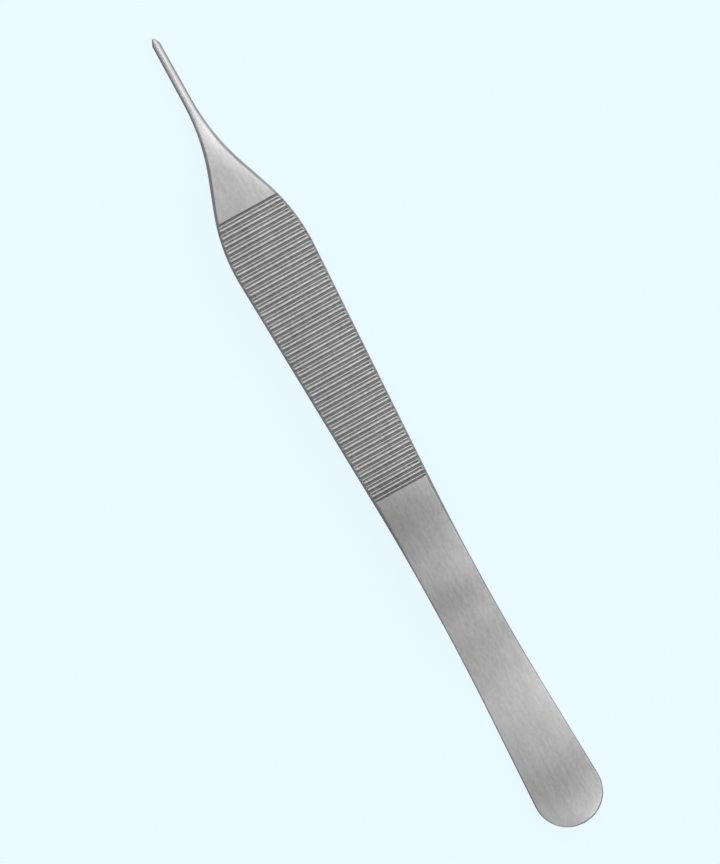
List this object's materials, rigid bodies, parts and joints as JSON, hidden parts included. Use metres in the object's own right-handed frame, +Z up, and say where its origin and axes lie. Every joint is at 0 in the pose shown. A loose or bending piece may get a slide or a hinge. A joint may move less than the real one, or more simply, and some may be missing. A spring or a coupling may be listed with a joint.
{
  "type": "thumb forceps",
  "caption": "Slim sprung thumb forceps in brushed steel, with a rounded welded heel, broad cross-ribbed grips and narrow pointed tips with fine notches inside.",
  "frame": {"origin": "middle of the length and width, at the height of the flat ribbed grip that the forceps lie on", "axes": "+X runs from the heel to the tips, +Y across the arms, +Z up through both arms"},
  "size_m": [0.12, 0.0114, 0.012],
  "materials": {
    "satin_steel": "satin stainless steel, brushed along the length"
  },
  "bodies": {
    "root": {"upper_arm": "satin_steel", "lower_arm": "satin_steel"}
  },
  "joints": []
}
